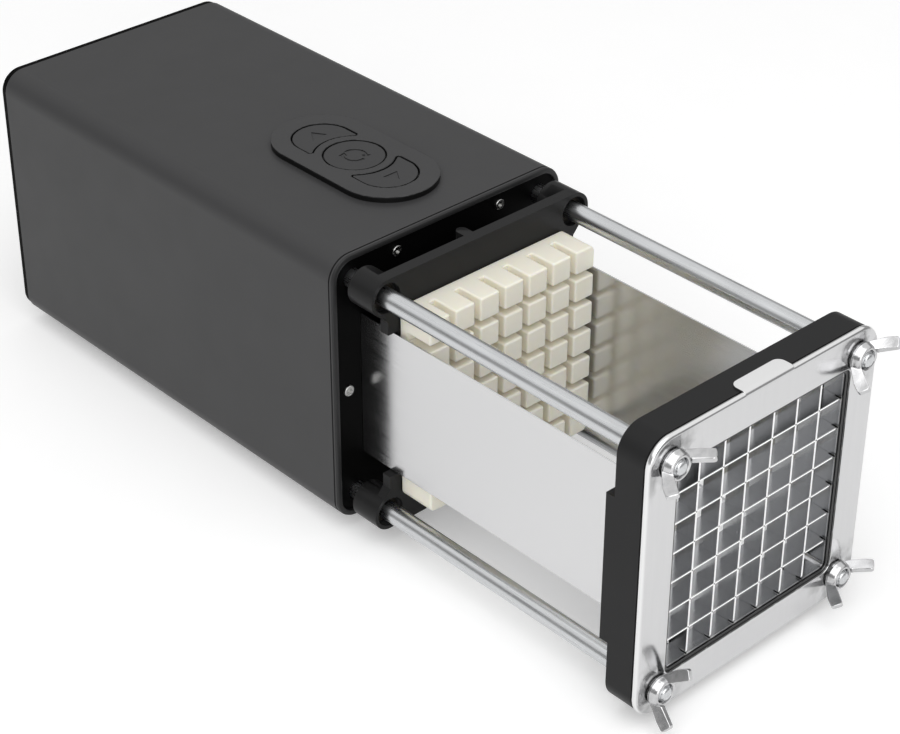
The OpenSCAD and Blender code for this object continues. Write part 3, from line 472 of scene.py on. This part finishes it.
def housing_sleeve():
    """Square tube with a rolled front lip, a thin groove behind the lip, and four posts inside."""
    bm = bmesh.new()
    back = REAR_Y - 2.8
    groove = [(BODY, RIM_LINE - 0.4), (BODY - 0.3, RIM_LINE - 0.35), (BODY - 0.3, RIM_LINE + 0.35),
              (BODY, RIM_LINE + 0.4)]
    rims = [(58.5, back), (58.5, BODY_Y + 0.7), (58.75, BODY_Y + 0.2), (59.3, BODY_Y),
            (60.1, BODY_Y + 0.01), (60.7, BODY_Y + 0.25), (BODY, BODY_Y + 0.9), *groove,
            (BODY, back - 0.8), (60.75, back - 0.2), (60.2, back + 0.01)]
    skin(bm, [ring(bm, half, half - (BODY - BODY_R), y, 16) for half, y in rims])
    outward(bm)
    post_r, post_y = 5, REAR_Y - 24
    for i in (-1, 1):
        for k in (-1, 1):
            turned(bm, [(0, back), (post_r, back), (post_r, post_y), (0, post_y)], i * ROD, k * ROD, 32)
    piece("sleeve", bm, "machine", "housing_sleeve", smooth=30)


def back_cover():
    """Lid that closes the housing, rounded along its rear border."""
    bm = from_cad("back_cover")
    border = 59
    bevel(bm, sharp(bm, lambda a, b: min(a.y, b.y) > REAR_Y - 0.01
                    and max(abs(a.x), abs(a.z)) > border), 1.2, 4)
    piece("back_lid", bm, "machine", "back_cover")


def horn(sign, grow):
    """Outline of an end key: half a disc, straight sides, and an arc round the knob with rounded tips."""
    inner, tip = KNOB + WEB, 1
    x = KNOB - tip
    y = math.sqrt((inner + tip) ** 2 - x ** 2)
    off = math.degrees(math.atan2(y, x))
    outline = (arc(0, LOBE, KNOB + grow, 0, 180, 48)
               + arc(-x, y, tip + grow, 180, 360 - off, 10)
               + arc(0, 0, inner - grow, 180 - off, off)[1:]
               + arc(x, y, tip + grow, 180 + off, 360, 10)[1:])
    return [(u, PAD_Y + sign * v) for u, v in outline]


def knob(grow):
    """Outline of the middle key."""
    return arc(0, PAD_Y, KNOB + grow, 0, 360, 96)[:-1]


def arrow(sign):
    """Triangle that points away from the knob."""
    return [(0, PAD_Y + sign * 27.4), (3.6, PAD_Y + sign * 21.9), (-3.6, PAD_Y + sign * 21.9)]


def turning_arrow(angle):
    """Half of the knob's symbol: an arc that ends in an arrow head."""
    neck, tail = -36, 100
    head = [arc(0, 0, radius, at, at, 1)[0] for radius, at in ((3.1, neck), (4.8, -70), (6.5, neck))]
    outline = arc(0, 0, 5.3, neck, tail, 24) + arc(0, 0, 4.3, tail, neck, 24) + head
    c, s = math.cos(angle), math.sin(angle)
    return [(x * c - y * s, PAD_Y + x * s + y * c) for x, y in outline]


def button_pad():
    """Raised stadium with one hole for each key."""
    bm = bmesh.new()
    stadium = arc(0, PAD_Y + LOBE, PAD_R, 0, 180, 48) + arc(0, PAD_Y - LOBE, PAD_R, 180, 360, 48)
    gap = 0.55
    moulded_slab(bm, [stadium, knob(gap), horn(1, gap), horn(-1, gap)], PAD_LOW, PAD_TOP, 0.2)
    piece("pad", bm, "machine", "button_pad", smooth=30)


def button(node, body, outline, symbols):
    """A key with its symbol sunk into the cap, on the stem that carries it."""
    bm = from_cad(node)
    stem_top = 62.2
    bmesh.ops.delete(bm, geom=[vert for vert in bm.verts if vert.co.z > stem_top], context="VERTS")
    moulded_slab(bm, [outline(grow=-0.4)], KEY_LOW, SUNK, 0.05)
    moulded_slab(bm, [outline(grow=-0.2)] + symbols, SUNK - 0.35, KEY_TOP, 0.16)
    piece(node.replace("button", "key"), bm, body, node, smooth=30)


# ---------------------------------------------------------------- front

def cover_plate():
    """Flat sheet with a square window and a rolled rim, and the hook tab on its upper edge."""
    bm = bmesh.new()
    back = FACE_Y + 0.9
    window = [(WINDOW, 4, back), (WINDOW, 4, 1.0), (WINDOW + 0.12, 4.1, 0.78), (WINDOW + 0.4, 4.4, FACE_Y)]
    roll = arc(COVER - ROLL, FACE_Y + 0.005 + ROLL, ROLL, -90, 90, 12) + [(59.0, 3.5), (58.6, back + 0.01)]
    rim = [(half, half - (COVER - COVER_R), y) for half, y in roll]
    skin(bm, [ring(bm, half, radius, y, 14) for half, radius, y in window + rim])
    outward(bm)
    join_hook_tab(bm)
    piece("cover", bm, "machine", "cover_plate", smooth=30)


def join_hook_tab(bm):
    """Adds a tongue that rises from the plate's upper edge and bends back over the frame."""
    tab = bmesh.new()
    half, end_y = 13, 8.8
    bend_y, bend_z = 2.85, 59.65
    outer, inner = 2.15, 1.25

    def bent(radius, start, end):
        return [(bend_y - u, bend_z + v) for u, v in arc(0, 0, radius, start, end, 7)]

    end = [(end_y, bend_z + outer), (end_y, bend_z + inner)]
    profile = bent(outer, -8, 90) + end + bent(inner, 90, -8)
    side = tab.faces.new([tab.verts.new((-half, y, z)) for y, z in profile])
    drawn_out(tab, [side], (2 * half, 0, 0))
    outward(tab)
    bevel(tab, [edge for edge in tab.edges if all(vert.co.y > end_y - 0.1 for vert in edge.verts)
                and abs(edge.verts[0].co.z - edge.verts[1].co.z) > 0.5], 3.4, 8)
    bevel(tab, sharp(tab), 0.25, 2)
    sheet = meshed("tab", tab)
    bm.from_mesh(sheet)
    bpy.data.meshes.remove(sheet)


def front_frame():
    """Moulded square behind the cover plate, rounded along its rear outer edges."""
    bm = from_cad("front_frame")
    border, middle_y = 57, 8
    bevel(bm, sharp(bm, lambda a, b: max(abs(a.x), abs(a.z)) > border
                    and max(abs(b.x), abs(b.z)) > border and min(a.y, b.y) > middle_y), 0.9, 3)
    piece("frame", bm, "machine", "front_frame")


def blades(name, level):
    """Six strips with narrow shoulders: the front part stops short of the box, the rear part reaches it."""
    bm = bmesh.new()
    front, rear = 43.9, 45.7
    shoulder_y, back_y = 5.5, 11.3
    half_side = [(BLADE_Y, front), (shoulder_y, front), (shoulder_y, rear), (back_y, rear)]
    outline = [(y, -z) for y, z in half_side] + half_side[::-1]
    for line in LINES:
        face = bm.faces.new([bm.verts.new((line - STRIP / 2, y, z)) for y, z in outline])
        drawn_out(bm, [face], (STRIP, 0, 0))
    outward(bm)
    bevel(bm, sharp(bm, lambda a, b: max(a.y, b.y) < BLADE_Y + 0.1 and abs(a.z - b.z) > 1), 0.1, 1)
    if level:
        bmesh.ops.rotate(bm, verts=bm.verts, matrix=Matrix.Rotation(math.pi / 2, 3, "Y"))
    piece(name.replace("blades", "strips"), bm, "machine", name, smooth=20)


def blade_box():
    """Sheet box round the blades, as the CAD has it."""
    piece("grid_box", from_cad("blade_box"), "machine", "blade_box", smooth=30)


def rod(name, i, k):
    """Round bar with a domed, threaded stud in front that the wing nut holds."""
    bm = bmesh.new()
    radius, end_y = 4, 184.4
    turned(bm, [(0, -4.8), (0.9, -4.76), (1.7, -4.6), (2.3, -4.3), (2.65, -3.9), (2.75, -3.4),
                (3.05, -3.1), (3.05, -2.9), (STUD, -2.5), (STUD, 16.4), (3.7, 16.6), (3.98, 16.9),
                (radius, 17.3), (radius, end_y - 0.5), (3.6, end_y), (0, end_y)], i * ROD, k * ROD)
    outward(bm)
    piece(name.replace("rod", "bar"), bm, "machine", name, smooth=30)


def wing_nut(name, i, k, angle):
    """Two wings on a turned hub. Each swells from the hub in two root facets and ends in a flat blade."""
    bm = bmesh.new()
    corners = {"heel": (4.4, -0.1, 2.4), "shoulder": (6.3, -0.4, 2.1), "throat": (4.8, -4.9, 1.3),
               "back": (10.8, -4.8, 1.2), "tip": (13.2, -8.7, 1.2), "nose": (9.4, -11.45, 1.2),
               "root": (4.4, -3.5, 1.6)}
    near = {key: bm.verts.new((u, y, -t)) for key, (u, y, t) in corners.items()}
    far = {key: bm.verts.new((u, y, t)) for key, (u, y, t) in corners.items()}
    for face in (("heel", "root", "throat", "shoulder"), ("shoulder", "throat", "back"),
                 ("throat", "nose", "tip", "back")):
        bm.faces.new([near[key] for key in face])
        bm.faces.new([far[key] for key in reversed(face)])
    outline = ["heel", "shoulder", "back", "tip", "nose", "throat", "root"]
    for first, second in zip(outline, outline[1:] + outline[:1]):
        bm.faces.new([near[first], near[second], far[second], far[first]])
    outward(bm)
    bevel(bm, sharp(bm, lambda a, b: abs(a.z - b.z) > 1 and min(a.x, b.x) > 9), 1.1, 4)
    bevel(bm, sharp(bm, lambda a, b: max(a.x, b.x) > 5.5, 30), 0.4, 3)
    twin = bmesh.ops.duplicate(bm, geom=bm.verts[:] + bm.edges[:] + bm.faces[:])["geom"]
    bmesh.ops.rotate(bm, verts=verts_of(twin), matrix=Matrix.Rotation(math.pi, 3, "Y"))
    bore = STUD + 0.12
    turned(bm, [(bore, 0.62), (5.2, 0.62), (5.2, 0.3), (5.9, 0.2), (6.1, -0.05), (6.1, -0.9),
                (5.95, -1.15), (5.75, -2.0), (5.45, -2.9), (5.2, -3.4), (4.9, -3.64), (4.5, -3.7),
                (4.2, -3.66), (3.9, -3.4), (bore, -2.6)], closed=True)
    outward(bm)
    bmesh.ops.rotate(bm, verts=bm.verts, matrix=Matrix.Rotation(math.radians(-angle), 3, "Y"))
    bmesh.ops.translate(bm, verts=bm.verts, vec=(i * ROD, 0, k * ROD))
    piece(name.replace("wing_nut", "thumb_nut"), bm, name.replace("nut_", ""), name, smooth=28)


# ---------------------------------------------------------------- trough and pusher

def trough_sheet(side, low, high):
    """Flat sheet between two corners, given as (x, z), as long as the trough."""
    bm = bmesh.new()
    corners = [Vector((x, y, z)) for (x, z), y in zip((low, high), TROUGH_Y)]
    place = Matrix.LocRotScale((corners[0] + corners[1]) / 2, None, corners[1] - corners[0])
    bmesh.ops.create_cube(bm, size=1, matrix=place)
    bevel(bm, bm.edges[:], 0.18)
    piece("chute_" + side, bm, "machine", "trough_" + side)


def carriage():
    """Plate with four bosses on the rods. Its long edges are broken, the short ones of its rounds stay."""
    bm = from_cad("carriage")
    bevel(bm, sharp(bm, lambda a, b: (a - b).length > 2.5, 40), 0.4)
    piece("slider", bm, "pusher", "carriage")


def push_block():
    """One moulding: a plate whose front is divided by the blade slots into 49 fingers."""
    bm = bmesh.new()
    half, corner, tip_y, root_y, back_y = 44.3, 3, 129, 141.4, 146.4
    half_slot = 1.5
    plate = bmesh.ops.contextual_create(bm, geom=ring(bm, half, corner, back_y, 6))["faces"]
    drawn_out(bm, plate, (0, root_y - back_y, 0))
    outward(bm)
    for line in LINES:
        for cut in (line - half_slot, line + half_slot):
            for normal in ((1, 0, 0), (0, 0, 1)):
                bmesh.ops.bisect_plane(bm, geom=bm.verts[:] + bm.edges[:] + bm.faces[:], dist=0.001,
                                       plane_co=(cut, 0, cut), plane_no=normal)

    def in_slot(value):
        return any(abs(value - line) < half_slot for line in LINES)

    tips = [face for face in bm.faces if face.normal.y < -0.9
            and not in_slot(face.calc_center_median().x) and not in_slot(face.calc_center_median().z)]
    grown = bmesh.ops.extrude_discrete_faces(bm, faces=tips)["faces"]
    bmesh.ops.translate(bm, verts=list({vert for face in grown for vert in face.verts}),
                        vec=(0, tip_y - root_y, 0))
    bmesh.ops.dissolve_limit(bm, angle_limit=math.radians(0.5), verts=bm.verts, edges=bm.edges)
    bevel(bm, [edge for edge in sharp(bm, angle=60) if edge.is_convex], 0.85, 4)
    outward(bm)
    piece("fingers", bm, "pusher", "push_block", smooth=50)


def drive_screw():
    """Threaded bar: one flank profile spun along a helix, over a plain core with turned ends."""
    bm = bmesh.new()
    start, end, crest, root = 165.3, 353, 8, 6.2
    pitch, steps = 4, 48
    profile = []
    for i in range(int((end - start - 5) / pitch)):
        y = start + 2 + pitch * i
        profile += [(root, y), (crest, y + 0.7), (crest, y + 1.9), (root, y + 2.6)]
    points = [bm.verts.new((radius, y, 0)) for radius, y in profile]
    edges = [bm.edges.new(pair) for pair in zip(points, points[1:])]
    bmesh.ops.spin(bm, geom=points + edges, cent=(0, 0, 0), axis=(0, 1, 0), dvec=(0, pitch / steps, 0),
                   angle=2 * math.pi, steps=steps, use_merge=False, use_duplicate=False)
    bmesh.ops.remove_doubles(bm, verts=bm.verts, dist=0.01)
    nose_y, spigot, core = 147, 6, root - 0.1
    turned(bm, [(0, nose_y), (spigot - 0.4, nose_y), (spigot, nose_y + 0.4), (spigot, start),
                (7.6, start), (7.9, start + 0.4), (7.9, start + 3), (core, start + 3.4), (core, end - 4),
                (7.0, end - 3.6), (7.0, end - 0.8), (6.2, end), (0, end)])
    outward(bm)
    piece("lead_screw", bm, "pusher", "drive_screw", smooth=35)


housing_sleeve()
back_cover()
button_pad()
button("button_back", "back_button", lambda grow: horn(1, grow), [arrow(1)])
button("button_forward", "forward_button", lambda grow: horn(-1, grow), [arrow(-1)])
button("button_stop", "stop_button", knob, [turning_arrow(0), turning_arrow(math.pi)])
cover_plate()
front_frame()
blades("blades_upright", level=False)
blades("blades_level", level=True)
blade_box()
for corner, i, k, angle in (("top_left", -1, 1, 19), ("top_right", 1, 1, 37), ("bottom_right", 1, -1, 24),
                            ("bottom_left", -1, -1, 62)):
    rod("rod_" + corner, i, k)
    wing_nut("wing_nut_" + corner, i, k, angle)
trough_sheet("wall_left", (-WALL[1], -WALL_HALF), (-WALL[0], WALL_HALF))
trough_sheet("wall_right", (WALL[0], -WALL_HALF), (WALL[1], WALL_HALF))
trough_sheet("floor", (-WALL_HALF, -WALL[1]), (WALL_HALF, -WALL[0]))
carriage()
push_block()
drive_screw()


# ---------------------------------------------------------------- stage, light and camera

WHITE = (1, 1, 1, 1)


def backdrop():
    """Plain pale floor. It goes white where the camera sees it lit, and keeps the shadow."""
    bm = bmesh.new()
    bmesh.ops.create_grid(bm, x_segments=1, y_segments=1, size=6)
    floor = stand("floor", meshed("floor", bm))
    finish = Finish("floor white", (0.9, 0.9, 0.9), 0.8, Specular_IOR_Level=0.1, Emission_Color=WHITE)
    finish.feed("Base Color", finish.mix(finish.noise(30), (0.89, 0.89, 0.89), (0.91, 0.91, 0.91)))
    finish.feed("Emission Strength", finish.rays() * 0.26)
    floor.data.materials.append(finish.material)


def screen():
    """A grey band of cloth round the table, which only shows as a shade in bright metal."""
    bm = bmesh.new()
    low, high = 0.12, 1.5
    foot = bmesh.ops.create_circle(bm, segments=64, radius=2.6)["verts"]
    head = verts_of(bmesh.ops.extrude_edge_only(bm, edges=bm.edges[:])["geom"])
    bmesh.ops.translate(bm, verts=foot, vec=(0, 0, low))
    bmesh.ops.translate(bm, verts=head, vec=(0, 0, high))
    band = stand("screen", meshed("screen", bm))
    finish = Finish("screen cloth", (0, 0, 0), 1.0, Specular_IOR_Level=0, Emission_Color=WHITE,
                    Emission_Strength=0.36)
    band.data.materials.append(finish.material)
    band.visible_camera = band.visible_diffuse = band.visible_shadow = band.visible_transmission = False


def lamp(name, place, size, power):
    """Square soft light that points at the machine."""
    aim = Vector((0, 0, 0.06))
    data = bpy.data.lights.new(name, "AREA")
    data.shape, data.size, data.energy = "SQUARE", size, power
    made = stand(name, data)
    made.location = place
    made.rotation_euler = (aim - made.location).to_track_quat("-Z", "Y").to_euler()


def studio():
    """Even light from all round, white where the camera sees it, with a broad key lamp and a weak fill."""
    world = bpy.data.worlds.new("studio")
    bpy.context.scene.world = world
    world.use_nodes = True
    nodes = Nodes(world.node_tree)
    background = world.node_tree.nodes["Background"]
    nodes.set(background.inputs["Color"], WHITE)
    nodes.set(background.inputs["Strength"],
              nodes.node("ShaderNodeMix", None, {"Factor": nodes.rays(), "A": 0.46, "B": 1.0}))
    lamp("key", (-0.7, -0.7, 1.85), size=2.6, power=30)
    lamp("fill", (-1.2, -1.6, 0.7), size=1.2, power=8)


def camera():
    """Long lens that looks down on the machine from its left front corner."""
    azimuth, elevation, roll = (math.radians(a) for a in (-42.7712, 32.9089, 0.1516))
    back = Vector((math.sin(azimuth) * math.cos(elevation), -math.cos(azimuth) * math.cos(elevation),
                   math.sin(elevation)))
    right = Vector((math.cos(azimuth), math.sin(azimuth), 0))
    up = back.cross(right)
    axis_x = right * math.cos(roll) + up * math.sin(roll)
    axis_y = up * math.cos(roll) - right * math.sin(roll)
    data = bpy.data.cameras.new("camera")
    data.lens, data.sensor_width, data.sensor_fit = 93.506, 36, "HORIZONTAL"
    data.clip_start, data.clip_end = 0.02, 50
    made = stand("camera", data)
    turn = Matrix((axis_x, axis_y, back)).transposed().to_4x4()
    spot = MACHINE @ Vector((-545.856, -424.173, 508.278))
    made.matrix_world = Matrix.Translation(spot) @ turn
    bpy.context.scene.camera = made


backdrop()
screen()
studio()
camera()
bpy.context.scene.view_settings.view_transform = "Standard"
